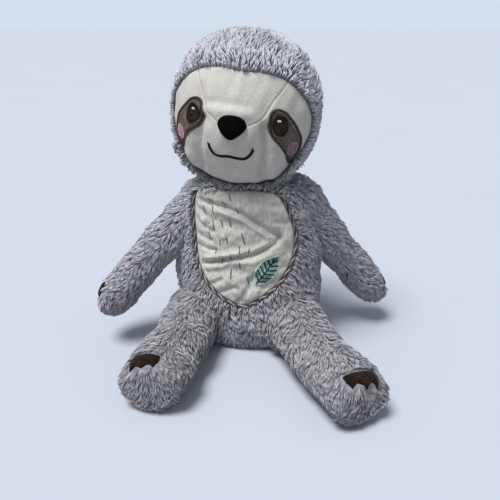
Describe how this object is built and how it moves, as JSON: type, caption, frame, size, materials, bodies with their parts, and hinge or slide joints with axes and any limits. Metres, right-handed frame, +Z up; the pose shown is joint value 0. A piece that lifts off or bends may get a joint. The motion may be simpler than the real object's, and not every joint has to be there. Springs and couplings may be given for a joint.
{
  "type": "plush sloth",
  "caption": "Seated plush sloth with a fur body, a pale velour face and belly, embroidered eyes and claws, and a head, arms and legs that turn in soft seams.",
  "frame": {"origin": "on the surface that the toy sits on, under the middle of its seat", "axes": "+Z up, -Y the way the face and belly look, +X the toy's own left"},
  "size_m": [0.2819, 0.2139, 0.2886],
  "materials": {
    "fur": "long wavy frosted pile, matte",
    "face_velour": "short smooth pile, matte",
    "belly_velour": "short ribbed pile, matte",
    "nose_velour": "short dense pile, matte",
    "dark_thread": "satin stitch",
    "patch_thread": "satin stitch",
    "iris_thread": "satin stitch",
    "white_thread": "satin stitch",
    "blush_thread": "satin stitch",
    "claw_thread": "dense short pile, matte",
    "leaf_thread": "satin stitch",
    "piping": "twisted cord, matte",
    "filling": "loose polyester fibre",
    "pouch_cloth": "plain woven cloth"
  },
  "bodies": {
    "torso": {"body_cover": "fur", "body_stuffing": "filling", "seat_bean_pouch": "pouch_cloth", "belly_panel": "belly_velour", "belly_piping": "piping", "leaf_patch": "leaf_thread"},
    "head": {"head_cover": "fur", "head_stuffing": "filling", "forehead_panel": "face_velour", "face_panel": "face_velour", "nose_pad": "nose_velour", "mouth_stitch": "dark_thread", "eye_patch_left": "patch_thread", "eye_outline_left": "dark_thread", "iris_left": "iris_thread", "eye_glint_left": "white_thread", "blush_left": "blush_thread", "eye_patch_right": "patch_thread", "eye_outline_right": "dark_thread", "iris_right": "iris_thread", "eye_glint_right": "white_thread", "blush_right": "blush_thread"},
    "arm_left": {"arm_cover_left": "fur", "arm_stuffing_left": "filling", "hand_claws_left": "claw_thread"},
    "arm_right": {"arm_cover_right": "fur", "arm_stuffing_right": "filling", "hand_claws_right": "claw_thread"},
    "leg_left": {"leg_cover_left": "fur", "leg_stuffing_left": "filling", "foot_claws_left": "claw_thread"},
    "leg_right": {"leg_cover_right": "fur", "leg_stuffing_right": "filling", "foot_claws_right": "claw_thread"}
  },
  "joints": [
    {"name": "head_turn", "type": "hinge", "parent": "torso", "child": "head", "pos_m": [0, 0, 0.16], "axis": [0, 0, 1], "range_deg": [-40, 40], "stiffness_Nm_per_rad": 0.12},
    {"name": "arm_left_raise", "type": "hinge", "parent": "torso", "child": "arm_left", "pos_m": [0.048, 0, 0.134], "axis": [0, -1, 0], "range_deg": [-4, 75], "stiffness_Nm_per_rad": 0.1},
    {"name": "arm_right_raise", "type": "hinge", "parent": "torso", "child": "arm_right", "pos_m": [-0.048, 0, 0.134], "axis": [0, 1, 0], "range_deg": [-4, 75], "stiffness_Nm_per_rad": 0.1},
    {"name": "leg_left_raise", "type": "hinge", "parent": "torso", "child": "leg_left", "pos_m": [0.048, -0.044, 0.0295], "axis": [-1, 0, 0], "range_deg": [-12, 28], "stiffness_Nm_per_rad": 0.15},
    {"name": "leg_right_raise", "type": "hinge", "parent": "torso", "child": "leg_right", "pos_m": [-0.048, -0.0335, 0.0295], "axis": [-1, 0, 0], "range_deg": [-12, 28], "stiffness_Nm_per_rad": 0.15}
  ]
}
